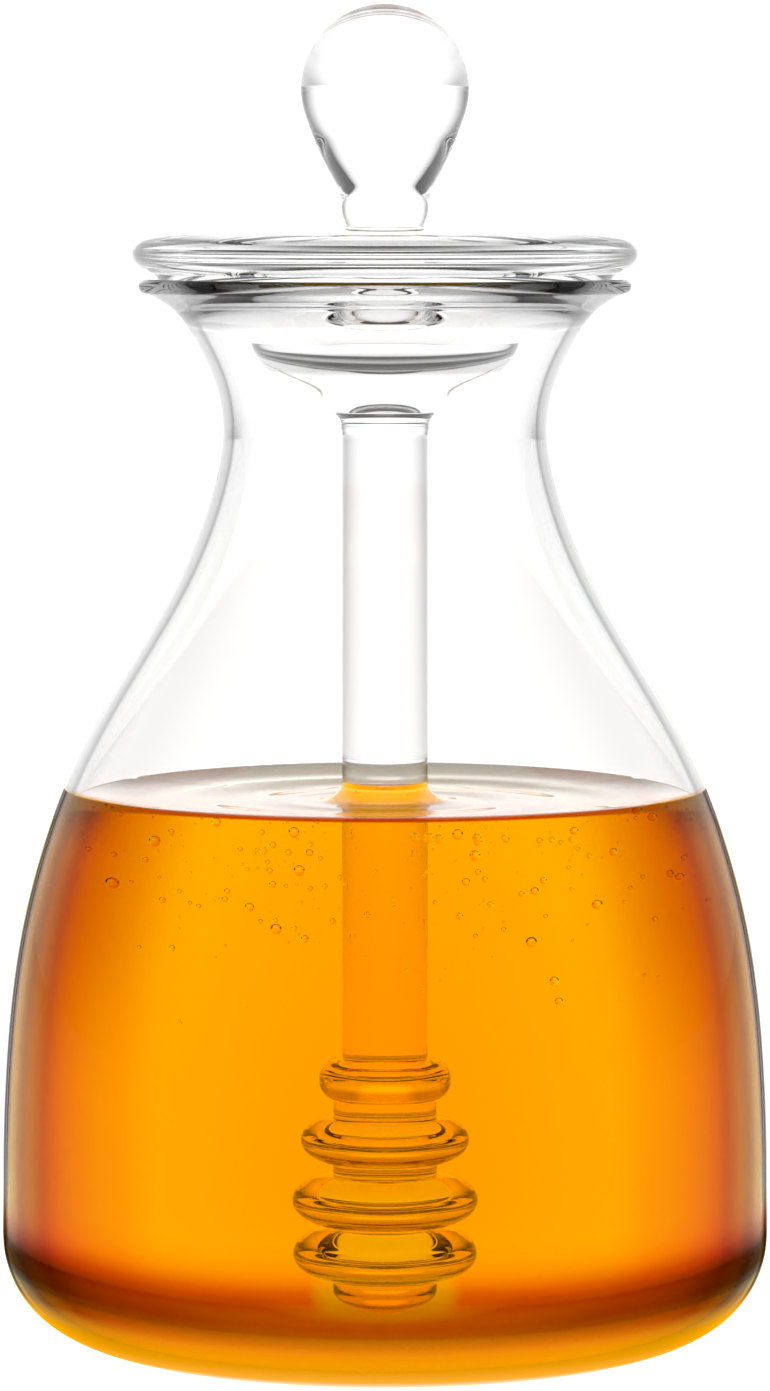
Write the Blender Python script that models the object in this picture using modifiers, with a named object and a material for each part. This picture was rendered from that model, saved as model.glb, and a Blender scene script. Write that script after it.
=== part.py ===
"""Glass honey pot: a flared jar of honey, shut by a knobbed lid whose rod ends in a ribbed dipper head.

Every piece is turned about the vertical axis. The pot stands on the plane z = 0 with its axis on the
origin. Outlines are lists of (radius, height) pairs in metres, followed from the top of a piece down
its outer side.
"""
import math

import bpy

MM = 0.001

OBJECT_NAME = "glass_honey_pot"

# Facets round each piece, and straight pieces along each stretch of an outline
JAR_SIDES = 40
LID_SIDES = 28
SPAN_PIECES = 2
CORNER_PIECES = 6
LIP_PIECES = 6
KNOB_PIECES = 10
RIB_PIECES = 6
TIP_PIECES = 4

# Points on the axis closer together than this are one point after turning
MERGE_DISTANCE = 0.01 * MM

# Clearance between neighbouring pieces, and the wider one that faceted honey keeps round the dipper
GAP = 0.3 * MM
HOLLOW_GAP = 0.36 * MM

# Jar: one glass wall, a flat base with a round corner, a wide belly, a narrow neck and a flared mouth
WALL = 1.7 * MM
BELLY_RADIUS = 42.95 * MM
BASE_RADIUS = 28.0 * MM
CORNER_HEIGHT = 12.5 * MM
CORNER_FULLNESS = 2.15
LIP_RADIUS = 27.45 * MM
LIP_HEIGHT = 118.4 * MM
LIP_START = 100.0
LIP_STOP = -80.0
NECK_RADIUS = 18.1 * MM

# Heights and radii that the jar's outer side passes through, from below the lip to the belly
JAR_SIDE = (
    (26.3 * MM, 117.4 * MM),
    (23.8 * MM, 115.9 * MM),
    (21.2 * MM, 112.4 * MM),
    (19.05 * MM, 107.9 * MM),
    (NECK_RADIUS, 102.3 * MM),
    (18.9 * MM, 96.8 * MM),
    (22.0 * MM, 87.9 * MM),
    (28.3 * MM, 76.6 * MM),
    (34.5 * MM, 65.6 * MM),
    (38.1 * MM, 56.4 * MM),
    (41.0 * MM, 44.8 * MM),
    (42.6 * MM, 30.5 * MM),
    (BELLY_RADIUS, 19.0 * MM),
)

# Honey
HONEY_LEVEL = 61.9 * MM

# Lid: a teardrop knob on a flat disc with a round edge, over a stopper bowl
KNOB_RADIUS = 9.38 * MM
KNOB_HEIGHT = 140.35 * MM
KNOB_TAPER = math.radians(23.5)
KNOB_FOOT = (
    (4.66 * MM, 127.2 * MM),
    (4.62 * MM, 125.8 * MM),
    (4.4 * MM, 124.85 * MM),
    (4.9 * MM, 124.3 * MM),
)
DISC_TOP = 124.3 * MM
DISC_EDGE = (
    (26.2 * MM, DISC_TOP),
    (27.75 * MM, 123.6 * MM),
    (28.4 * MM, 122.4 * MM),
    (27.6 * MM, 120.9 * MM),
    (26.4 * MM, 119.7 * MM),
)
SEAT_INNER_RADIUS = 21.4 * MM
STOPPER_RIM = (15.0 * MM, 112.5 * MM)
STOPPER_BOWL = (
    (14.75 * MM, 111.8 * MM),
    (13.3 * MM, 109.6 * MM),
    (9.2 * MM, 106.6 * MM),
    (5.6 * MM, 104.6 * MM),
)
ROD_COLLAR = (
    (5.6 * MM, 104.3 * MM),
    (5.0 * MM, 103.6 * MM),
    (4.9 * MM, 102.6 * MM),
)
ROD_RADIUS = 4.8 * MM
ROD_TOP = 102.3 * MM

# Dipper head: round ribs on a thick core, as (height of the middle, radius, half thickness)
HEAD_CORE_RADIUS = 5.7 * MM
HEAD_RIBS = (
    (29.4 * MM, 7.4 * MM, 2.15 * MM),
    (22.6 * MM, 9.4 * MM, 2.5 * MM),
    (15.8 * MM, 10.35 * MM, 2.85 * MM),
    (9.75 * MM, 10.25 * MM, 2.9 * MM),
)
TIP_RADIUS = 5.85 * MM
TIP_SHOULDER = 5.6 * MM
TIP_BOTTOM = 2.9 * MM

# Where the honey's hollow takes its points round each rib, in degrees above and below the rib's middle
HOLLOW_ANGLES = (-80, -55, -28, 0, 28, 55, 80)


def smooth(points):
    """Catmull-Rom curve through the points, with a few straight pieces in each span."""
    ends = [points[0]] + list(points) + [points[-1]]
    curve = [points[0]]
    for before, start, stop, after in zip(ends, ends[1:], ends[2:], ends[3:]):
        for step in range(1, SPAN_PIECES + 1):
            t = step / SPAN_PIECES
            curve.append(tuple(
                0.5 * (2 * b + (c - a) * t + (2 * a - 5 * b + 4 * c - d) * t ** 2
                       + (3 * b - a - 3 * c + d) * t ** 3)
                for a, b, c, d in zip(before, start, stop, after)))
    return curve


def arc(centre, radius, height, start, stop, pieces):
    """Elliptic arc from start to stop, in degrees up from the radial direction."""
    angles = [math.radians(start + (stop - start) * k / pieces) for k in range(pieces + 1)]
    return [(centre[0] + radius * math.cos(a), centre[1] + height * math.sin(a)) for a in angles]


def base_corner():
    """Round lower corner of the jar: a superellipse from the belly in to the edge of the flat base."""
    power = 2 / CORNER_FULLNESS
    angles = [math.pi / 2 * (1 - k / CORNER_PIECES) for k in range(CORNER_PIECES + 1)]
    reach = BELLY_RADIUS - BASE_RADIUS
    return [(BASE_RADIUS + reach * math.sin(a) ** power, CORNER_HEIGHT * (1 - max(math.cos(a), 0) ** power))
            for a in angles]


def jar_outer_side():
    """Outer side of the jar from under the lip down to the edge of the flat base."""
    return smooth(JAR_SIDE) + base_corner()


def inset(curve, distance):
    """The curve moved sideways by the distance, towards the axis on a side that runs downwards."""
    moved = []
    for k, (radius, height) in enumerate(curve):
        before = curve[max(k - 1, 0)]
        after = curve[min(k + 1, len(curve) - 1)]
        along = (after[0] - before[0], after[1] - before[1])
        length = math.hypot(*along)
        moved.append((radius + along[1] / length * distance, height - along[0] / length * distance))
    return moved


def cut_below(curve, level):
    """The part of a falling curve that lies below the level, starting on it."""
    for k, (high, low) in enumerate(zip(curve, curve[1:])):
        if high[1] > level >= low[1]:
            share = (high[1] - level) / (high[1] - low[1])
            return [(high[0] + (low[0] - high[0]) * share, level)] + curve[k + 1:]
    return curve


def cut_outside(curve, radius):
    """The part of a curve that narrows from its start, down to the given radius."""
    for k, (wide, narrow) in enumerate(zip(curve, curve[1:])):
        if wide[0] > radius >= narrow[0]:
            share = (wide[0] - radius) / (wide[0] - narrow[0])
            return curve[:k + 1] + [(radius, wide[1] + (narrow[1] - wide[1]) * share)]
    return curve


def jar_outline():
    """Closed jar outline: up the inside from the floor, over the lip, down the outside to the base."""
    outside = jar_outer_side()
    inside = inset(outside, WALL)
    inside[-1] = (BASE_RADIUS, WALL)
    lip_half = WALL / 2
    lip = arc((LIP_RADIUS - lip_half, LIP_HEIGHT), lip_half, lip_half, LIP_START, LIP_STOP, LIP_PIECES)
    return [(0, WALL)] + inside[::-1] + lip + outside + [(0, 0)]


def honey_outer_side():
    """Outer side of the honey, a gap inside the jar's wall, from the level down to the floor."""
    side = inset(jar_outer_side(), WALL + GAP)
    side[-1] = (BASE_RADIUS, WALL + GAP)
    return cut_below(side, HONEY_LEVEL)


def rib(height, radius, half_thickness):
    """One round rib of the dipper head, from its upper crease to its lower crease."""
    return arc((HEAD_CORE_RADIUS, height), radius - HEAD_CORE_RADIUS, half_thickness, 90, -90, RIB_PIECES)


def dipper_outline():
    """Rod and ribbed head below the lid's collar, down to the axis under the tip."""
    outline = [(ROD_RADIUS, ROD_TOP)]
    first_height, _, first_half = HEAD_RIBS[0]
    outline.append((ROD_RADIUS, first_height + first_half))
    for height, radius, half_thickness in HEAD_RIBS:
        outline += rib(height, radius, half_thickness)
    last_height, _, last_half = HEAD_RIBS[-1]
    outline.append((TIP_RADIUS, last_height - last_half - GAP))
    outline += arc((0, TIP_SHOULDER), TIP_RADIUS, TIP_SHOULDER - TIP_BOTTOM, 0, -90, TIP_PIECES)
    outline[-1] = (0, TIP_BOTTOM)
    return outline


def lid_outline():
    """Knob, disc, seat, stopper, collar, rod and dipper head as one outline from top to bottom."""
    knob = arc((0, KNOB_HEIGHT), KNOB_RADIUS, KNOB_RADIUS, 90, -math.degrees(KNOB_TAPER), KNOB_PIECES)
    knob[0] = (0, KNOB_HEIGHT + KNOB_RADIUS)
    seat = cut_outside(inset(smooth(JAR_SIDE), WALL + GAP), SEAT_INNER_RADIUS)
    seat = [point for point in seat if point[0] < DISC_EDGE[-1][0] - GAP]
    stopper = [STOPPER_RIM] + smooth(STOPPER_BOWL)
    above = knob + smooth(KNOB_FOOT) + smooth(DISC_EDGE)
    return above + seat + stopper + list(ROD_COLLAR) + dipper_outline()


def widest_near(curve, height, reach):
    """Radius that keeps the reach clear of every point of the curve near the given height."""
    radius = 0.0
    samples = 12
    for (r_high, z_high), (r_low, z_low) in zip(curve, curve[1:]):
        for k in range(samples + 1):
            z = z_high + (z_low - z_high) * k / samples
            if abs(z - height) < reach:
                r = r_high + (r_low - r_high) * k / samples
                radius = max(radius, r + math.sqrt(reach ** 2 - (z - height) ** 2))
    return radius


def honey_hollow():
    """Hollow that the dipper stands in, from the bottom up: the dipper's outline grown by the gap."""
    dipper = dipper_outline()
    tip_depth = TIP_SHOULDER - TIP_BOTTOM + HOLLOW_GAP
    hollow = arc((0, TIP_SHOULDER), TIP_RADIUS + HOLLOW_GAP, tip_depth, -90, 0, TIP_PIECES)
    hollow[0] = (0, TIP_BOTTOM - HOLLOW_GAP)
    for height, _, half_thickness in reversed(HEAD_RIBS):
        for angle in HOLLOW_ANGLES:
            z = height + (half_thickness + HOLLOW_GAP) * math.sin(math.radians(angle))
            if z > hollow[-1][1] + HOLLOW_GAP:
                hollow.append((widest_near(dipper, z, HOLLOW_GAP), z))
    clear_of_head = HEAD_RIBS[0][0] + HEAD_RIBS[0][2] + 2 * HOLLOW_GAP
    rod_clearance = ROD_RADIUS + HOLLOW_GAP
    return hollow + [(rod_clearance, clear_of_head), (rod_clearance, HONEY_LEVEL)]


def honey_outline():
    """Closed honey outline: up round the dipper, across the level, down inside the jar's wall."""
    return honey_hollow() + honey_outer_side() + [(0, WALL + GAP)]


def new_material(name, colour, roughness, ior):
    """Clear Principled material, seen through like glass or honey."""
    material = bpy.data.materials.new(name)
    material.use_nodes = True
    shader = material.node_tree.nodes["Principled BSDF"]
    shader.inputs["Base Color"].default_value = (*colour, 1.0)
    shader.inputs["Metallic"].default_value = 0.0
    shader.inputs["Roughness"].default_value = roughness
    shader.inputs["IOR"].default_value = ior
    shader.inputs["Transmission Weight"].default_value = 1.0
    material.diffuse_color = (*colour, 1.0)
    return material


def turned(name, outline, sides, material, collection):
    """Object made by turning an outline once about the vertical axis with a Screw modifier."""
    mesh = bpy.data.meshes.new(name)
    edges = [(k, k + 1) for k in range(len(outline) - 1)]
    mesh.from_pydata([(radius, 0.0, height) for radius, height in outline], edges, [])
    mesh.materials.append(material)
    piece = bpy.data.objects.new(name, mesh)
    collection.objects.link(piece)
    screw = piece.modifiers.new("turn", "SCREW")
    screw.axis = "Z"
    screw.angle = math.tau
    screw.steps = sides
    screw.render_steps = sides
    screw.use_merge_vertices = True
    screw.merge_threshold = MERGE_DISTANCE
    screw.use_smooth_shade = True
    return piece


def build():
    """The jar, the lid with its dipper, and the honey."""
    for old in list(bpy.data.objects):
        bpy.data.objects.remove(old)
    collection = bpy.data.collections.new(OBJECT_NAME)
    bpy.context.scene.collection.children.link(collection)
    glass = new_material("clear_glass", (0.94, 0.96, 0.96), 0.02, 1.47)
    lid_glass = new_material("clear_lid_glass", (0.95, 0.96, 0.97), 0.02, 1.47)
    honey = new_material("clear_honey", (0.95, 0.48, 0.03), 0.02, 1.49)
    turned("jar", jar_outline(), JAR_SIDES, glass, collection)
    turned("lid_dipper", lid_outline(), LID_SIDES, lid_glass, collection)
    turned("honey", honey_outline(), JAR_SIDES, honey, collection)


build()
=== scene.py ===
import math

import bpy
import numpy as np
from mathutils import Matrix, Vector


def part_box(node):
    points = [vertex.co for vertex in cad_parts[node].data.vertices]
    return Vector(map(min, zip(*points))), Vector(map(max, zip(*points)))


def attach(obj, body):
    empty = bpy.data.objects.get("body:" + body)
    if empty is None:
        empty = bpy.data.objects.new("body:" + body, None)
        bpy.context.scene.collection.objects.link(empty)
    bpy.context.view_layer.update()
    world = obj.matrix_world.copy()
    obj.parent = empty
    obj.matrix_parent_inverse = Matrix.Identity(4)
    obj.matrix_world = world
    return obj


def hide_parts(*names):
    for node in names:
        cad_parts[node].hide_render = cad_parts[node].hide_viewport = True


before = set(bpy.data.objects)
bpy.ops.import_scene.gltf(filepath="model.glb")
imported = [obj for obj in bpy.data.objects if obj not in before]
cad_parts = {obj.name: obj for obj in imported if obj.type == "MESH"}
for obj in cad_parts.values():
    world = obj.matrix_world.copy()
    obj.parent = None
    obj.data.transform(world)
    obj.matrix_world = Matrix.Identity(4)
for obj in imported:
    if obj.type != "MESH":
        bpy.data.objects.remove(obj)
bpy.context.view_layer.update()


# Jar: one wall of clear borosilicate glass, blown from tube and flame polished, with a flat base, a broad
# round corner, a wide belly, a narrow neck and a flared mouth. It is turned as one closed skin, down the
# outside, across the base and up the inside.
MM = 0.001
JAR_SIDES = 200
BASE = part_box("jar")[0].z
BELLY_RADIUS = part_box("jar")[1].x
WALL = 1.7 * MM
BASE_RADIUS = 28.0 * MM
CORNER_HEIGHT = 12.5 * MM
CORNER_FULLNESS = 2.15
LIP_HALF = WALL / 2
LIP_CENTRE = (27.45 * MM - LIP_HALF, 118.4 * MM)
LIP_TOP_TURN, LIP_LOW_TURN = 112, -68
INSIDE_TOP = 118.95 * MM
JAR_SIDE = np.array((
    (26.3, 117.4), (23.8, 115.9), (21.2, 112.4), (19.05, 107.9), (18.1, 102.3), (18.9, 96.8), (22.0, 87.9),
    (28.3, 76.6), (34.5, 65.6), (38.1, 56.4), (41.0, 44.8), (42.6, 30.5), (BELLY_RADIUS / MM, 19.0))) * MM
SPAN_AT_HONEY = 8
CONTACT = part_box("honey")[1].z + 0.2 * MM

GLASS_INDEX = 1.47
LIP_INDEX = 1.08
BEND = 0.13
GLASS_DEPTH = (0.5, 0.5, 0.5, 1.0)
GLASS_DENSITY = 50.0
WHITE = (1.0, 1.0, 1.0, 1.0)
# Painted shade on the dry glass: a fine grey line just inside the wall's outline, placed by how edge on the wall is
# seen, and grey on the lip.
WALL_LINE_DEPTH = 0.7
PAINTED_WALL_LINE = ((0.0, 1.0), (0.15, 0.94), (0.22, 0.89), (0.30, 0.84), (0.39, 0.79), (0.44, 0.68), (0.47, 0.46),
             (0.50, 0.30), (0.53, 0.36), (0.60, 0.50), (0.70, 0.50), (1.0, 0.46))
WALL_LINE_SCALE = 2.0
PAINTED_LIP_SHADE = ((0.0, 0.84), (0.35, 0.80), (0.6, 0.72), (0.8, 0.55), (0.9, 0.42), (1.0, 0.7))
# Painted shade towards the edges of the full pot, by how edge on the wall is seen: brown, pale and dark lines in place
# of the longer way through honey and the dark sides of the room. The table after it gives the blue share of this
# painted shade.
PAINTED_EDGE_SHADE = (
    (0.0, 0.88, 1.0), (0.5, 0.88, 0.98), (0.6, 0.88, 0.936), (0.70, 0.86, 0.70), (0.806, 0.79, 0.50),
    (0.858, 0.70, 0.37), (0.89, 0.55, 0.30), (0.90, 0.50, 0.31), (0.918, 0.485, 0.43), (0.929, 0.49, 0.47),
    (0.94, 0.455, 0.52), (0.952, 0.39, 0.56), (0.963, 0.42, 0.65), (0.971, 0.50, 0.80), (0.9816, 0.48, 0.97),
    (0.9868, 0.66, 0.97), (0.990, 0.66, 0.97), (0.9925, 0.24, 0.9), (0.9965, 0.12, 0.85), (0.9980, 0.6, 0.95),
    (1.0, 1.0, 1.0))
PAINTED_EDGE_BLUE = ((0.88, 0.05), (0.92, 0.12), (0.945, 0.6), (0.96, 1.0))
UPPER_SHADE = (0.80, 0.66, 0.4)
# Painted shade: a dark band across the foot, rising where the wall is seen more edge on, dark brown by how edge on it
# is seen, and a painted reddening at its upper edge beside the middle of the view.
PAINTED_FOOT_BAND = ((4.5, 0.0), (5.3, 0.25), (6.2, 0.6), (7.2, 0.95), (8.2, 1.0), (10.6, 1.0), (11.6, 0.8), (12.9, 0.42), (14.0, 0.13),
             (15.2, 0.0))
PAINTED_FOOT_BAND_COLOURS = ((0.0, (0.66, 0.42)), (0.06, (0.64, 0.38)), (0.10, (0.53, 0.17)), (0.26, (0.38, 0.11)), (0.5, (0.20, 0.09)), (1.0, (0.16, 0.09)))
PAINTED_FOOT_REDDENING = ((9.6, 1.0), (10.4, 0.7), (11.2, 0.36), (12.3, 0.40), (13.4, 0.62), (14.6, 0.8), (16.0, 0.93), (17.5, 1.0))
FOOT_BAND_RISE = 3.0
# Painted light and shade at the foot, by height over the whole front of the full pot: light orange at the very bottom,
# deep orange from 1.5 to 6.3 mm, fading to none by 12 mm.
PAINTED_FOOT_COLOUR = ((0.0, (1.0, 0.90, 0.78)), (0.7, (1.0, 0.72, 0.40)), (1.5, (1.0, 0.46, 0.03)), (3.0, (1.0, 0.43, 0.0)),
             (5.0, (1.0, 0.45, 0.0)), (6.3, (1.0, 0.49, 0.05)), (7.6, (1.0, 0.64, 0.2)), (8.9, (1.0, 0.92, 0.5)),
             (10.5, (1.0, 1.0, 0.8)), (12.0, (1.0, 1.0, 1.0)))
SHOULDER_SHADE = 0.2
# Painted dark line at the honey's brim, from a little above where honey meets the wall downwards, wider where the wall
# is seen more edge on: dark red-brown square on, grey-brown towards the edges.
CONTACT_LINE = 0.7
CONTACT_RAISE = 0.45
LOOK_DOWN = 9.7
CONTACT_LINE_SPREAD = 4.0
PAINTED_BRIM_SHADE = ((0.1, (0.25, 0.015, 0.001)), (0.45, (0.12, 0.02, 0.004)), (0.7, (0.04, 0.022, 0.013)), (1.0, (0.06, 0.04, 0.03)))


def smooth_through(points, per_span, start=None, stop=None, fine=()):
    """Natural cubic spline through the points, even in chord length: each coordinate is a cubic of the
    distance along the chords, with slope and bending shared where two spans meet. start and stop fix
    the slope at an end, as a vector per unit of chord. The spans in fine get five times the points."""
    points = np.asarray(points, float)
    steps = np.linalg.norm(np.diff(points, axis=0), axis=1)
    count = len(points)
    system = np.zeros((count, count))
    right = np.zeros((count, 2))
    rows = np.arange(1, count - 1)
    system[rows, rows - 1] = steps[1:]
    system[rows, rows] = 2 * (steps[:-1] + steps[1:])
    system[rows, rows + 1] = steps[:-1]
    slopes = np.diff(points, axis=0) / steps[:, None]
    right[rows] = 3 * (steps[1:, None] * slopes[:-1] + steps[:-1, None] * slopes[1:])
    system[0, :2] = (1, 0) if start is not None else (2, 1)
    right[0] = start if start is not None else 3 * slopes[0]
    system[-1, -2:] = (0, 1) if stop is not None else (1, 2)
    right[-1] = stop if stop is not None else 3 * slopes[-1]
    tangents = np.linalg.solve(system, right)
    spans = []
    for k in range(count - 1):
        pieces = 5 * per_span if k in fine else per_span
        t = (np.arange(pieces) / pieces)[:, None]
        spans.append((2 * t ** 3 - 3 * t ** 2 + 1) * points[k]
                     + (t ** 3 - 2 * t ** 2 + t) * tangents[k] * steps[k]
                     + (3 * t ** 2 - 2 * t ** 3) * points[k + 1]
                     + (t ** 3 - t ** 2) * tangents[k + 1] * steps[k])
    return np.vstack([*spans, points[-1:]])


def arc(centre, radius, height, start, stop, pieces):
    """Elliptic arc: the centre plus (radius cos a, height sin a), with a from start to stop in degrees."""
    a = np.radians(np.linspace(start, stop, pieces + 1))
    return np.column_stack([centre[0] + radius * np.cos(a), centre[1] + height * np.sin(a)])


def jar_outside():
    """Outer side from under the lip to the edge of the flat base: the spline, then a superellipse corner,
    r = base + reach sin(a)^(2/n) and z = height (1 - cos(a)^(2/n))."""
    side = smooth_through(JAR_SIDE, 8, stop=(0, -1), fine=(SPAN_AT_HONEY,))
    a = np.linspace(math.pi / 2, 0, 37)[1:]
    power = 2 / CORNER_FULLNESS
    corner = np.column_stack([
        BASE_RADIUS + (BELLY_RADIUS - BASE_RADIUS) * np.sin(a) ** power,
        CORNER_HEIGHT * (1 - np.cos(a) ** power)])
    straight = np.column_stack([np.full(4, BELLY_RADIUS), np.linspace(JAR_SIDE[-1, 1], CORNER_HEIGHT, 5)[1:]])
    return np.vstack([side, straight, corner])


def moved_in(curve, distance):
    """The curve moved by the distance along its normal, towards the axis where it runs downwards."""
    along = np.gradient(curve, axis=0)
    along /= np.linalg.norm(along, axis=1)[:, None]
    return curve + distance * np.column_stack([along[:, 1], -along[:, 0]])


def turned(name, outline, sides):
    """Surface of revolution: a point (r, z) of the outline goes to (r cos b, r sin b, z) at each angle b.
    The outline runs down its outer side, and where it starts or ends on the axis it closes in a fan."""
    b = np.linspace(0, math.tau, sides, endpoint=False)
    body = outline[outline[:, 0] > 1e-9]
    rings = np.stack([body[:, :1] * np.cos(b), body[:, :1] * np.sin(b), np.repeat(body[:, 1:], sides, 1)], -1)
    points = [rings.reshape(-1, 3)]
    i, j = np.meshgrid(np.arange(len(body) - 1), np.arange(sides), indexing="ij")
    here, across = i * sides + j, i * sides + (j + 1) % sides
    faces = np.stack([here, here + sides, across + sides, across], -1).reshape(-1, 4).tolist()
    k = np.arange(sides)
    pole = len(body) * sides
    if outline[0][0] <= 1e-9:
        points.append([[0.0, 0.0, outline[0][1]]])
        faces += np.column_stack([np.full(sides, pole), k, (k + 1) % sides]).tolist()
        pole += 1
    if outline[-1][0] <= 1e-9:
        last = (len(body) - 1) * sides
        points.append([[0.0, 0.0, outline[-1][1]]])
        faces += np.column_stack([np.full(sides, pole), last + (k + 1) % sides, last + k]).tolist()
    return linked(name, np.vstack(points), faces)


def linked(name, points, faces):
    """A smooth shaded mesh object at the origin, with edges over 35 degrees kept sharp."""
    mesh = bpy.data.meshes.new(name)
    mesh.from_pydata(points, [], faces)
    mesh.shade_smooth()
    mesh.set_sharp_from_angle(angle=math.radians(35))
    piece = bpy.data.objects.new(name, mesh)
    bpy.context.scene.collection.objects.link(piece)
    return piece


def eased(value, low, high):
    """0 below low, 1 above high, with an S-shaped rise between."""
    t = np.clip((value - low) / (high - low), 0, 1)
    return t * t * (3 - 2 * t)


def point_layer(piece, key, values):
    """Keeps one number for each point of the mesh, for its material to read."""
    layer = piece.data.attributes.new(key, "FLOAT", "POINT")
    layer.data.foreach_set("value", np.asarray(values, np.float32))


def points_of(piece):
    """The mesh's points as an array, one row for each."""
    flat = np.empty(len(piece.data.vertices) * 3, np.float32)
    piece.data.vertices.foreach_get("co", flat)
    return flat.reshape(-1, 3).astype(float)


def linear(hex_colour):
    """sRGB hex to linear RGBA, by the sRGB curve."""
    parts = [int(hex_colour[k:k + 2], 16) / 255 for k in (1, 3, 5)]
    return [p / 12.92 if p <= 0.04045 else ((p + 0.055) / 1.055) ** 2.4 for p in parts] + [1.0]


def add_node(tree, kind, settings=None, links=None):
    """Adds one node; settings are its properties and socket values, links join its inputs to outputs."""
    made = tree.nodes.new(kind)
    for key, value in (settings or {}).items():
        if isinstance(key, int) or key in made.inputs:
            made.inputs[key].default_value = value
        else:
            setattr(made, key, value)
    for key, output in (links or {}).items():
        tree.links.new(output, made.inputs[key])
    return made


def split_values(pairs):
    """Sorts (key, value) pairs into numbers to set and outputs to link."""
    numbers = {key: value for key, value in pairs if not hasattr(value, "is_output")}
    outputs = {key: value for key, value in pairs if hasattr(value, "is_output")}
    return numbers, outputs


def calc(tree, operation, *values):
    """One sum of numbers or outputs."""
    numbers, outputs = split_values(list(enumerate(values)))
    return add_node(tree, "ShaderNodeMath", {"operation": operation, **numbers}, outputs).outputs[0]


def rise(tree, value, low, high, low_value=0.0, high_value=1.0):
    """An S-shaped change from low_value to high_value, as the value goes from low to high."""
    return add_node(tree, "ShaderNodeMapRange", {
        "interpolation_type": "SMOOTHSTEP", "From Min": low, "From Max": high, "To Min": low_value,
        "To Max": high_value}, {"Value": value}).outputs[0]


def mixed(tree, factor, below, above):
    """The number below where the factor is 0, above where it is 1."""
    numbers, outputs = split_values(((0, factor), (2, below), (3, above)))
    return add_node(tree, "ShaderNodeMix", numbers, outputs).outputs[0]


def tinted(tree, factor, below, above, way="MIX"):
    """The colour below where the factor is 0, above (or both multiplied) where it is 1."""
    numbers, outputs = split_values(((0, factor), (6, below), (7, above)))
    return add_node(tree, "ShaderNodeMix", {"data_type": "RGBA", "blend_type": way, **numbers}, outputs).outputs[2]


def ramp(tree, value, stops):
    """A colour ramp; each stop is its place from 0 to 1 and its red, green and blue share of light."""
    node = add_node(tree, "ShaderNodeValToRGB", links={"Fac": value})
    elements = node.color_ramp.elements
    for k, (place, share) in enumerate(stops):
        element = elements[0] if k == 0 else elements[-1] if k == len(stops) - 1 else elements.new(place)
        element.position = place
        element.color = (*share, 1.0)
    return node.outputs[0]


def grey_stops(stops):
    """Stops of a neutral ramp. A shader lets the square root of its colour through, so shares are squared."""
    return [(place, (share ** 2,) * 3) for place, share in stops]


def layer_value(tree, key):
    return add_node(tree, "ShaderNodeAttribute", {"attribute_name": key}).outputs["Fac"]


def clear_glass(name, colour="#FDFEFE"):
    """Borosilicate glass: clear and smooth, index 1.47."""
    material = bpy.data.materials.new(name)
    material.use_nodes = True
    tree = material.node_tree
    tree.nodes.clear()
    output = add_node(tree, "ShaderNodeOutputMaterial")
    shader = add_node(tree, "ShaderNodeBsdfPrincipled", {
        "Base Color": linear(colour), "Roughness": 0.0, "IOR": GLASS_INDEX, "Transmission Weight": 1.0})
    tree.links.new(shader.outputs[0], output.inputs["Surface"])
    return material, tree, shader, output


def seen_edge_on(tree):
    """How far the surface turns from the eye, 0 square on to 1 edge on, and 1 where its front shows."""
    facing = add_node(tree, "ShaderNodeLayerWeight", {"Blend": 0.5}).outputs["Facing"]
    behind = add_node(tree, "ShaderNodeNewGeometry").outputs["Backfacing"]
    return facing, calc(tree, "SUBTRACT", 1.0, behind)


def dry_shade(tree, facing):
    """Painted shade on the dry wall and the lip: a fine grey line painted just inside the wall's outline, where
    sight runs along its thickness, and grey painted on the lip, darker where it is seen edge on."""
    from_line = calc(tree, "MULTIPLY_ADD", calc(tree, "SUBTRACT", facing, layer_value(tree, "line")),
                     WALL_LINE_SCALE, 0.5)
    return tinted(tree, layer_value(tree, "lip"), ramp(tree, from_line, grey_stops(PAINTED_WALL_LINE)),
                  ramp(tree, facing, grey_stops(PAINTED_LIP_SHADE)))


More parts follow.
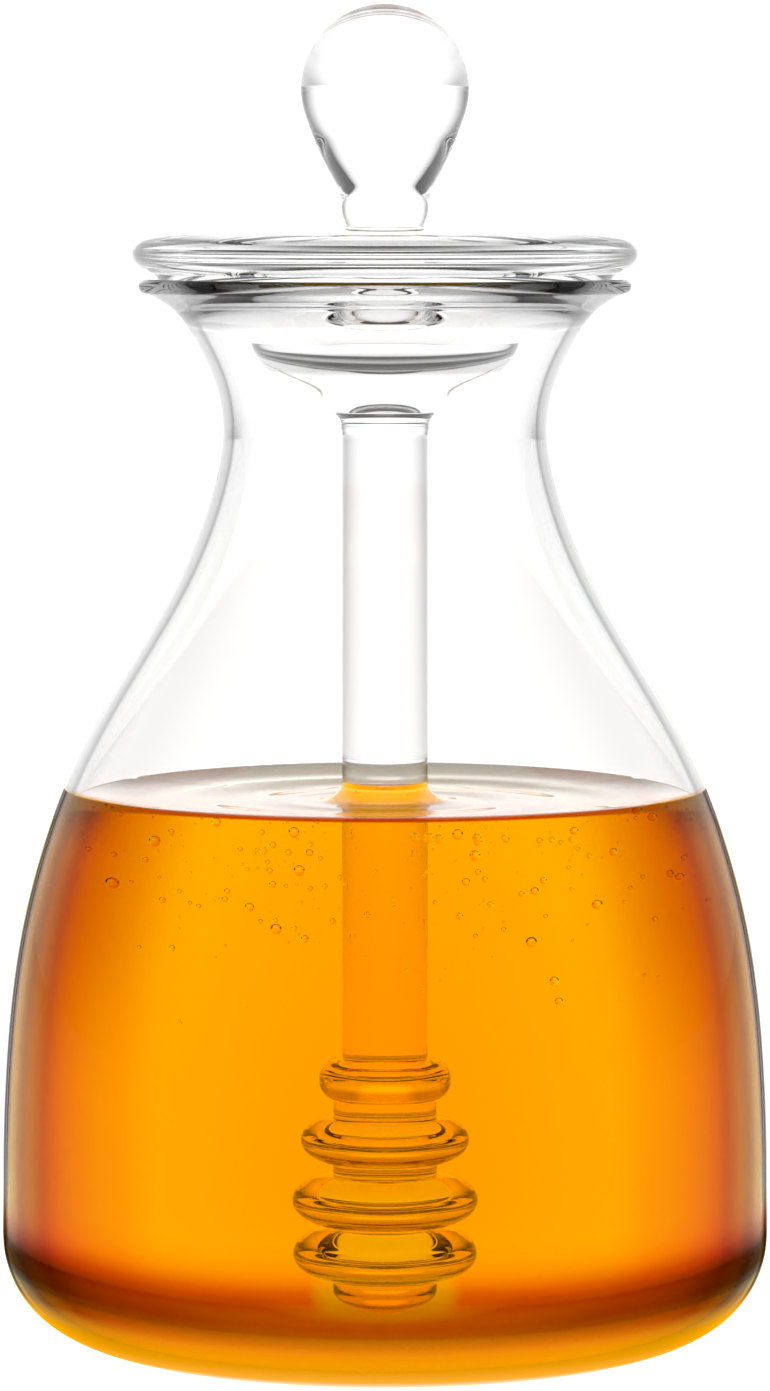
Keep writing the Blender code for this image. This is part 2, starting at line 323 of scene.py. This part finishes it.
def filled_shade(tree, facing, height):
    """Painted shade on the wall in front of honey, in place of the longer way through honey and the dark sides
    of the room: brown, pale and dark lines at the edge, a dark band and a reddening at the foot, light and shade by
    height low down, shade on the upper side and the shoulder, and a dark line at the honey's brim."""
    stops = []
    for sine, red, green in PAINTED_EDGE_SHADE:
        blue = green * float(np.interp(sine, *zip(*PAINTED_EDGE_BLUE)))
        stops.append((1 - math.sqrt(1 - sine ** 2), (red ** 2, (red * green) ** 2, (red * blue) ** 2)))
    colour = tinted(tree, rise(tree, height, 4.0, 7.5), WHITE, ramp(tree, facing, stops))

    # Painted dark band at the foot, and painted reddening at its upper edge beside the middle of the view.
    raised = calc(tree, "MULTIPLY_ADD", calc(tree, "MAXIMUM", calc(tree, "SUBTRACT", facing, 0.1), 0.0),
                  -FOOT_BAND_RISE, height)
    band = ramp(tree, calc(tree, "DIVIDE", raised, 20.0), [(z / 20, (share,) * 3) for z, share in PAINTED_FOOT_BAND])
    deep = ramp(tree, facing, [(place, (r ** 2, g ** 2, (0.3 * g) ** 2)) for place, (r, g) in PAINTED_FOOT_BAND_COLOURS])
    colour = tinted(tree, band, colour, deep, "MULTIPLY")
    painted_reddening = ramp(tree, calc(tree, "DIVIDE", raised, 20.0), [(z / 20, (1, g ** 2, g ** 4)) for z, g in PAINTED_FOOT_REDDENING])
    aside = rise(tree, calc(tree, "SUBTRACT", facing, layer_value(tree, "middle")), 0.010, 0.022)
    colour = tinted(tree, aside, colour, painted_reddening, "MULTIPLY")
    upper = calc(tree, "MULTIPLY", rise(tree, height, 30.0, 52.0), rise(tree, facing, 0.12, 0.4))
    colour = tinted(tree, upper, colour, tuple(share ** 2 for share in UPPER_SHADE) + (1.0,), "MULTIPLY")
    # Painted light and shade at the foot, by height.
    foot = ramp(tree, calc(tree, "DIVIDE", height, 20.0),
                [(z / 20, tuple(share ** 2 for share in shares)) for z, shares in PAINTED_FOOT_COLOUR])
    colour = tinted(tree, 1.0, colour, foot, "MULTIPLY")
    shoulder = calc(tree, "MULTIPLY", rise(tree, height, 56.0, 62.0), rise(tree, facing, 0.35, 0.6))
    colour = tinted(tree, shoulder, colour, (SHOULDER_SHADE,) * 3 + (1.0,), "MULTIPLY")

    # Painted dark line at the honey's brim.
    spread = calc(tree, "MULTIPLY_ADD", calc(tree, "POWER", facing, 3.0), CONTACT_LINE_SPREAD, CONTACT_LINE)
    depth = calc(tree, "SUBTRACT", CONTACT / MM + CONTACT_RAISE, height)
    line = rise(tree, calc(tree, "SUBTRACT", 1.0, calc(tree, "DIVIDE", depth, spread)), 0.0, 0.35)
    return tinted(tree, line, colour, ramp(tree, facing, PAINTED_BRIM_SHADE))


def jar_glass():
    """Clear borosilicate, a little grey in its depth, so that nothing is piped up the wall to the lip. Where
    honey wets the inside, honey and glass bend light alike and the surface between them is unseen, index
    1. The full pot hardly magnifies what is behind it, so there light is bent little, more towards the
    edges: the index is 1 + k s^2 going in and 2 / (1 + sqrt(1 - 4 k s^2)) coming out, where s is the sine
    of the angle to the surface."""
    material, tree, shader, output = clear_glass("borosilicate_glass", "#FFFFFF")
    facing, front = seen_edge_on(tree)
    height = layer_value(tree, "height")
    filled = layer_value(tree, "filled")
    bend = calc(tree, "MULTIPLY", layer_value(tree, "bend"), rise(tree, facing, 0.87, 0.80))
    sine2 = calc(tree, "MULTIPLY", facing, calc(tree, "SUBTRACT", 2.0, facing))
    index_in = calc(tree, "MULTIPLY_ADD", sine2, BEND, 1.0)
    root = calc(tree, "SQRT", calc(tree, "MAXIMUM", calc(tree, "MULTIPLY_ADD", sine2, -4 * BEND, 1.0), 0.0))
    index_out = calc(tree, "DIVIDE", 2.0, calc(tree, "ADD", 1.0, root))
    filled_index = mixed(tree, bend, 1.0, mixed(tree, front, index_out, index_in))
    dry_index = mixed(tree, layer_value(tree, "lip"), GLASS_INDEX, LIP_INDEX)
    tree.links.new(mixed(tree, filled, dry_index, filled_index), shader.inputs["IOR"])
    # Base colour: the painted shade of the dry and the filled wall, on the outer skin where its front is seen, and
    # white elsewhere.
    outside_front = calc(tree, "MULTIPLY", front, layer_value(tree, "outside"))
    shade = tinted(tree, filled, dry_shade(tree, facing), filled_shade(tree, facing, height))
    tree.links.new(tinted(tree, outside_front, WHITE, shade), shader.inputs["Base Color"])
    depth = add_node(tree, "ShaderNodeVolumeAbsorption", {"Color": GLASS_DEPTH, "Density": GLASS_DENSITY})
    tree.links.new(depth.outputs[0], output.inputs["Volume"])
    return material


outside = jar_outside()
inside = moved_in(outside, WALL)
inside = inside[inside[:, 1] < INSIDE_TOP]
lip = arc(LIP_CENTRE, LIP_HALF, LIP_HALF, LIP_TOP_TURN, LIP_LOW_TURN, 20)[1:-1]
jar_outline = np.vstack([[(0, WALL)], inside[::-1], lip, outside, [(0, BASE)]])
jar = turned("jar_glass", jar_outline, JAR_SIDES)
jar.data.materials.append(jar_glass())

place = points_of(jar)
z_mm = place[:, 2] / MM
is_inside = np.zeros(len(place), bool)
is_inside[:len(inside) * JAR_SIDES] = True
is_inside[(len(jar_outline) - 2) * JAR_SIDES] = True
outer_z, outer_r = outside[::-1, 1], outside[::-1, 0]
radius = np.interp(place[:, 2], outer_z, outer_r)
lean = np.gradient(outer_r, outer_z)
upright = 1 / np.sqrt(1 + np.interp(place[:, 2], outer_z, lean) ** 2)
# Where the painted grey line falls: the facing at which sight runs through the wall a set share of its thickness in
# from the outline.
line_sine = 1 - WALL_LINE_DEPTH * WALL / upright / radius
line_facing = 1 - np.sqrt(1 - line_sine ** 2) * upright
point_layer(jar, "line", line_facing)
point_layer(jar, "outside", ~is_inside)
# Where the wall faces the camera, which looks down LOOK_DOWN degrees: the painted reddening at the foot is kept off
# this middle.
point_layer(jar, "middle", 1 - np.cos(np.arctan(np.interp(place[:, 2], outer_z, lean)) + math.radians(LOOK_DOWN)))
point_layer(jar, "lip", eased(z_mm, 113.0, 116.5))
point_layer(jar, "height", z_mm)
point_layer(jar, "bend", eased(z_mm, 11.0, 16.0) * ~is_inside)
point_layer(jar, "filled", place[:, 2] < CONTACT + np.where(is_inside, 0, CONTACT_RAISE) * MM)
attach(jar, "root")
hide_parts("jar")


# Lid: knob, neck, disc, stopper, rod and ribbed dipper head, lampworked from clear glass rod and fused into
# one piece. It rests in the jar's mouth by its disc and seat.
LID_SIDES = 144
LONGEST_STEP = 0.45
DISC_TOP = 124.3
KNOB_RADIUS = 9.38
KNOB_HEIGHT = 140.35
KNOB_END = -20
TAPER = ((6.5, 131.6), (4.95, 128.0), (4.62, 125.8), (4.42, 124.9), (4.9, DISC_TOP))
DISC_EDGE = ((24.6, DISC_TOP), (26.6, 123.9), (27.75, 123.15), (28.15, 122.0), (27.7, 120.85), (26.6, 120.1), (25.7, 119.75))
SEAT_GAP = 0.3 * MM
SEAT_REACH = (21.4, 25.6)
STOPPER_FOOT = ((15.0, 112.5), (14.7, 111.6), (13.3, 109.6), (9.2, 106.6), (5.6, 104.6))
COLLAR = ((5.6, 104.3), (5.0, 103.6), (4.9, 102.6))
CORE = 5.7
ROD = 4.8
ROD_TOP = 102.3
ROD_FOOT = 31.8
RIBS = ((29.4, 7.4, 2.15), (22.6, 9.4, 2.5), (15.8, 10.35, 2.85), (9.75, 10.25, 2.9))
RIB_TURN = 88
SUNK_BELOW = CONTACT
# Painted grey on the knob, darker where it is seen edge on.
PAINTED_KNOB_SHADE = ((0.0, 1.0), (0.33, 0.95), (0.46, 0.88), (0.54, 0.81), (0.65, 0.74), (0.8, 0.68), (1.0, 0.62))
# Painted grey lines across the lid at given heights, on the stopper and at the disc's round edge.
PAINTED_LID_LINES = ((108.8, 1.0), (109.5, 0.62), (111.2, 0.55), (111.9, 1.0), (119.6, 1.0), (120.1, 0.72), (120.6, 1.0),
             (122.7, 1.0), (123.2, 0.6), (123.7, 0.66), (123.95, 1.0))
LID_LINES_SPAN = (100.0, 130.0)
RIB_SHADE = (0.62, 0.50, 0.30)
# Painted orange shade on the dipper below the honey's brim.
PAINTED_SUNK_SHADE = (0.95, 0.56, 0.16, 1.0)
TIP_RADIUS, TIP_TOP, TIP_SHOULDER, TIP_BOTTOM = 5.85, 6.62, 5.6, 2.9


def dense(outline, step):
    """Adds points on the straight runs, so that no stretch is longer than the step."""
    runs = [outline[:1]]
    for a, b in zip(outline[:-1], outline[1:]):
        count = max(1, math.ceil(np.linalg.norm(b - a) / step))
        runs.append(a + (b - a) * (np.arange(1, count + 1) / count)[:, None])
    return np.vstack(runs)


def dipper_outline():
    """Rod, ribs and rounded tip, in mm: each rib is half an ellipse on the core."""
    parts = [np.array([(ROD, ROD_TOP), (ROD, ROD_FOOT)])]
    for height, radius, half in RIBS:
        parts.append(arc((CORE, height), radius - CORE, half, RIB_TURN, -RIB_TURN, 24))
    parts.append(np.array([(TIP_RADIUS, TIP_TOP)]))
    parts.append(arc((0, TIP_SHOULDER), TIP_RADIUS, TIP_SHOULDER - TIP_BOTTOM, 0, -90, 20)[:-1])
    parts.append(np.array([(0, TIP_BOTTOM)]))
    return np.vstack(parts)


def lid_outline():
    """Down from the knob's top: a round knob, its waist, the disc's round edge, the seat that follows the
    jar's mouth, the stopper's dish and the collar above the rod, in mm."""
    knob = arc((0, KNOB_HEIGHT), KNOB_RADIUS, KNOB_RADIUS, 90, KNOB_END, 40)
    knob[0, 0] = 0
    leave = math.radians(-KNOB_END)
    taper = smooth_through([tuple(knob[-1]), *TAPER], 8, start=(-math.sin(leave), -math.cos(leave)), stop=(1, 0))[1:]
    edge = smooth_through(DISC_EDGE, 8, start=(1, 0))
    seat = moved_in(outside, WALL + SEAT_GAP) / MM
    seat = seat[(seat[:, 0] > SEAT_REACH[0]) & (seat[:, 0] < SEAT_REACH[1]) & (seat[:, 1] > 100)]
    foot = smooth_through(STOPPER_FOOT, 8)
    collar = smooth_through(COLLAR, 5)
    return dense(np.vstack([knob, taper, edge, seat, foot, collar, dipper_outline()]), LONGEST_STEP) * MM


lid = turned("lid_glass", lid_outline(), LID_SIDES)
material, tree, shader, output = clear_glass("lampworked_glass")
lid.data.materials.append(material)
facing, front = seen_edge_on(tree)
point_layer(lid, "sunk", points_of(lid)[:, 2] < SUNK_BELOW)
place = points_of(lid)
z_mm = place[:, 2] / MM
is_sunk = (place[:, 2] < SUNK_BELOW) & (z_mm > TIP_TOP)
rib = sum(eased((height - z_mm) / half, 0.1, 0.35) * (1 - eased((height - z_mm) / half, 0.7, 0.9))
          for height, _, half in RIBS)
low, high = LID_LINES_SPAN
point_layer(lid, "sunk", is_sunk)
point_layer(lid, "rib", rib)
point_layer(lid, "knob", eased(z_mm, 128.0, 132.0))
point_layer(lid, "height", (z_mm - low) / (high - low))
# Painted shade on the lid's front: grey lines by height, grey on the knob by how edge on it is seen, orange shade under
# the honey's brim, and a darker band on the lower half of each rib.
lines = ramp(tree, layer_value(tree, "height"), grey_stops([((z - low) / (high - low), share) for z, share in PAINTED_LID_LINES]))
shade = tinted(tree, layer_value(tree, "knob"), lines, ramp(tree, facing, grey_stops(PAINTED_KNOB_SHADE)))
shade = tinted(tree, layer_value(tree, "sunk"), shade, PAINTED_SUNK_SHADE)
shade = tinted(tree, layer_value(tree, "rib"), shade, tuple(share ** 2 for share in RIB_SHADE) + (1.0,), "MULTIPLY")
tree.links.new(tinted(tree, front, WHITE, shade), shader.inputs["Base Color"])
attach(lid, "root")
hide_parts("lid_dipper")


# Honey: clear runny honey, poured in. Its skin lies just inside the jar's wall, so that no air gap shows,
# wraps the dipper, climbs a little at the wall and the rod, and still holds the swirl of the pouring.
HONEY_SIDES = 160
REACH = 0.12 * MM
DIPPER_REACH = 0.03 * MM
WALL_CLIMB, WALL_CLIMB_REACH = 1.4 * MM, 6.0 * MM
ROD_CLIMB, ROD_CLIMB_REACH = 1.8 * MM, 1.0 * MM
LEVEL = CONTACT - WALL_CLIMB
SWIRL = 0.13 * MM
SWIRL_WAVE = 13 * MM
HONEY_INDEX = 1.49
DEPTH_COLOUR = (0.9995, 0.863, 0.05, 1.0)
DEPTH_DENSITY = 100.0
SURFACE_SHADE = (0.06, 0.042, 0.022, 1.0)
GRAZING_SHADE = (0.45, 0.22, 0.08, 1.0)

wall = moved_in(outside, WALL - REACH)
wall_radius = float(np.interp(CONTACT, wall[::-1, 1], wall[::-1, 0]))
wall = wall[wall[:, 1] < CONTACT]
rod_radius = ROD * MM - DIPPER_REACH
sunk = dense(dipper_outline(), LONGEST_STEP) * MM
sunk = moved_in(sunk[sunk[:, 1] < LEVEL + ROD_CLIMB], DIPPER_REACH)
sunk[-1, 0] = 0
sunk = np.vstack([sunk[::-1], [(rod_radius, LEVEL + ROD_CLIMB)]])
r = np.linspace(rod_radius, wall_radius, 141)[1:]
top = np.column_stack([r, LEVEL + WALL_CLIMB * np.exp(-(wall_radius - r) / WALL_CLIMB_REACH)
                       + ROD_CLIMB * np.exp(-(r - rod_radius) / ROD_CLIMB_REACH)])
honey = turned("honey_fill", np.vstack([sunk, top, wall, [(0, WALL - REACH)]]), HONEY_SIDES)

place = points_of(honey)
reach = np.hypot(place[:, 0], place[:, 1])
in_dipper = (reach < 10.6 * MM) & (place[:, 2] < LEVEL - 0.2 * MM) & (place[:, 2] > TIP_BOTTOM * MM - 0.6 * MM)
is_free = (place[:, 2] >= LEVEL - 0.2 * MM) & (reach > rod_radius + 0.01 * MM) & (reach < wall_radius - 0.01 * MM)
room = np.clip((reach - 6 * MM) / (5 * MM), 0, 1) * np.clip((wall_radius - 4 * MM - reach) / (6 * MM), 0, 1)
swirl = np.sin(math.tau * reach / SWIRL_WAVE + np.arctan2(place[:, 1], place[:, 0]))
place[:, 2] += np.where(is_free, SWIRL * swirl * room ** 2, 0)
honey.data.vertices.foreach_set("co", place.astype(np.float32).ravel())
point_layer(honey, "free", is_free)
point_layer(honey, "shade", is_free * eased(reach, rod_radius + 1.0 * MM, rod_radius + 3.0 * MM))

material, tree, shader, output = clear_glass("liquid_honey", "#FFFFFF")
honey.data.materials.append(material)
facing, front = seen_edge_on(tree)
shader.inputs["IOR"].default_value = HONEY_INDEX
tree.links.new(mixed(tree, layer_value(tree, "free"), 1.0, HONEY_INDEX), shader.inputs["IOR"])
shade = tinted(tree, rise(tree, facing, 0.90, 0.93), SURFACE_SHADE, GRAZING_SHADE)
shaded = calc(tree, "MULTIPLY", front, layer_value(tree, "shade"))
tree.links.new(tinted(tree, shaded, WHITE, shade), shader.inputs["Base Color"])
volume = add_node(tree, "ShaderNodeVolumeAbsorption", {"Color": DEPTH_COLOUR, "Density": DEPTH_DENSITY})
tree.links.new(volume.outputs[0], output.inputs["Volume"])
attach(honey, "root")
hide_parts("honey")


# Bubbles: air beaten into the honey as it was poured, still rising, so most hang in its upper third and the
# finest have gathered along its edge. They are one joined mesh, whose faces point into the air.
BUBBLE_SEED = 29
BUBBLES = 230
EDGE_BUBBLES = 26
BUBBLE_INDEX = 1.42
BUBBLE_RINGS, BUBBLE_SIDES = 8, 14
BUBBLE_SIZES = ((0.50, 0.10, 0.20), (0.82, 0.20, 0.40), (1.0, 0.40, 0.70))
ROOM_AT_WALL = 1.2


def bubble_places(draw):
    """Centre and radius of each bubble, in mm: depth below the surface falls off as a half bell curve, and
    the place across is even, kept clear of the wall and the dipper."""
    found = []
    while len(found) < BUBBLES:
        height = CONTACT / MM - 2.4 - abs(draw.normal(0, 8.5))
        x, y = draw.uniform(-31, 31), draw.uniform(-26, 26)
        share = draw.uniform()
        _, least, most = next(size for size in BUBBLE_SIZES if share <= size[0])
        size = draw.uniform(least, most)
        off_axis = math.hypot(x, y)
        wall_here = np.interp(height * MM, wall[::-1, 1], wall[::-1, 0]) / MM
        if ROD + 1.6 < off_axis < wall_here - size - ROOM_AT_WALL and height > ROD_FOOT + 3:
            found.append((x, y, height, size))
    for k in range(EDGE_BUBBLES):
        turn = draw.uniform(-170, -10) if k < EDGE_BUBBLES * 2 // 3 else draw.uniform(0, 360)
        height = CONTACT / MM - draw.uniform(0.35, 1.3)
        size = draw.uniform(0.09, 0.2)
        off_axis = np.interp(height * MM, wall[::-1, 1], wall[::-1, 0]) / MM - size - 0.1
        found.append((off_axis * math.cos(math.radians(turn)), off_axis * math.sin(math.radians(turn)), height, size))
    return found


def balls(name, places):
    """Spheres as rings between two poles, (sin u cos v, sin u sin v, cos u), faces turned inwards."""
    u = np.linspace(0, math.pi, BUBBLE_RINGS + 1)[1:-1]
    v = np.linspace(0, math.tau, BUBBLE_SIDES, endpoint=False)
    shell = np.stack([np.outer(np.sin(u), np.cos(v)), np.outer(np.sin(u), np.sin(v)),
                      np.outer(np.cos(u), np.ones_like(v))], -1).reshape(-1, 3)
    shell = np.vstack([shell, [(0, 0, 1), (0, 0, -1)]])
    high, low = len(shell) - 2, len(shell) - 1
    faces = []
    for j in range(BUBBLE_SIDES):
        k = (j + 1) % BUBBLE_SIDES
        faces.append((high, k, j))
        last = (len(u) - 1) * BUBBLE_SIDES
        faces.append((low, last + j, last + k))
        for i in range(len(u) - 1):
            a, b = i * BUBBLE_SIDES, (i + 1) * BUBBLE_SIDES
            faces.append((a + j, a + k, b + k, b + j))
    points, all_faces = [], []
    for n, (x, y, z, size) in enumerate(places):
        points.append((shell * size + (x, y, z)) * MM)
        all_faces += [tuple(c + n * len(shell) for c in face) for face in faces]
    return linked(name, np.vstack(points), all_faces)


bubbles = balls("honey_bubbles", bubble_places(np.random.default_rng(BUBBLE_SEED)))
material, tree, shader, output = clear_glass("air_in_honey", "#FFFFFF")
shader.inputs["IOR"].default_value = BUBBLE_INDEX
bubbles.data.materials.append(material)
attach(bubbles, "root")


# Stage: a plain white table that glows, a painted pool of light: pale all over and brightest in a wedge where the
# camera looks
FLOOR_HALF = 8.0
FLOOR_DROP = 0.0002
FLOOR_GREY = "#D9D9D9"
FLOOR_GLOW = 1.1
CAMERA_BACK = 0.720

floor = linked("floor", [(-FLOOR_HALF, -FLOOR_HALF, -FLOOR_DROP), (FLOOR_HALF, -FLOOR_HALF, -FLOOR_DROP),
                         (FLOOR_HALF, FLOOR_HALF, -FLOOR_DROP), (-FLOOR_HALF, FLOOR_HALF, -FLOOR_DROP)], [(0, 1, 2, 3)])
material = bpy.data.materials.new("glowing_white_table")
material.use_nodes = True
tree = material.node_tree
tree.nodes.clear()
where = add_node(tree, "ShaderNodeTexCoord").outputs["Object"]
across, ahead, _ = add_node(tree, "ShaderNodeSeparateXYZ", links={0: where}).outputs
# Painted pool of light: the table glows, dimmest at the sides and brightest in a wedge that opens from the camera's
# place.
width = calc(tree, "DIVIDE", calc(tree, "ABSOLUTE", across), calc(tree, "ADD", ahead, CAMERA_BACK))
glow = rise(tree, width, 0.9, 0.12, 0.45, FLOOR_GLOW)
shader = add_node(tree, "ShaderNodeBsdfPrincipled", {
    "Base Color": linear(FLOOR_GREY), "Roughness": 0.9, "Emission Color": WHITE}, {"Emission Strength": glow})
tree.links.new(shader.outputs[0], add_node(tree, "ShaderNodeOutputMaterial").inputs["Surface"])
floor.data.materials.append(material)


# Light: a wide bright sheet behind the pot, and a dim room at the sides and behind the camera, which draws
# some of the dark lines in the glass; the rest are painted shade on the glass and the lid
BACK = 1.25
SIDE = 0.05
SHEET_FULL, SHEET_END = 40, 72
GLARE = 0.7

world = bpy.data.worlds.new("studio")
bpy.context.scene.world = world
world.use_nodes = True
tree = world.node_tree
tree.nodes.clear()
where = add_node(tree, "ShaderNodeTexCoord").outputs["Generated"]
_, ahead, up = add_node(tree, "ShaderNodeSeparateXYZ", links={0: where}).outputs
sheet = rise(tree, ahead, math.cos(math.radians(SHEET_END)), math.cos(math.radians(SHEET_FULL)), SIDE, BACK)
glare = calc(tree, "MULTIPLY", rise(tree, up, 0.0, 0.12), rise(tree, up, 0.3, 0.14))
glare = calc(tree, "MULTIPLY", glare, rise(tree, ahead, 0.93, 0.98))
strength = calc(tree, "MULTIPLY_ADD", glare, GLARE, sheet)
background = add_node(tree, "ShaderNodeBackground", {"Color": WHITE}, {"Strength": strength})
tree.links.new(background.outputs[0], add_node(tree, "ShaderNodeOutputWorld").inputs["Surface"])


# Camera: a long lens, a little above the pot and tilted down, as in the photograph
CAMERA_HEIGHT = 0.1306
CAMERA_TILT = 4.6
PHOTO_HEIGHT = 1391
LENS_PIXELS = 6455.0

camera_data = bpy.data.cameras.new("camera")
camera_data.sensor_width = 36.0
camera_data.lens = LENS_PIXELS * camera_data.sensor_width / PHOTO_HEIGHT
camera_data.clip_start = 0.01
camera_data.clip_end = 100.0
camera = bpy.data.objects.new("camera", camera_data)
camera.location = (0.0, -CAMERA_BACK, CAMERA_HEIGHT)
camera.rotation_euler = (math.radians(90 - CAMERA_TILT), 0.0, 0.0)
scene = bpy.context.scene
scene.collection.objects.link(camera)
scene.camera = camera
scene.view_settings.view_transform = "Standard"
scene.cycles.max_bounces = 40
scene.cycles.transmission_bounces = 40
scene.cycles.glossy_bounces = 16
scene.cycles.transparent_max_bounces = 32
scene.cycles.sample_clamp_indirect = 6.0
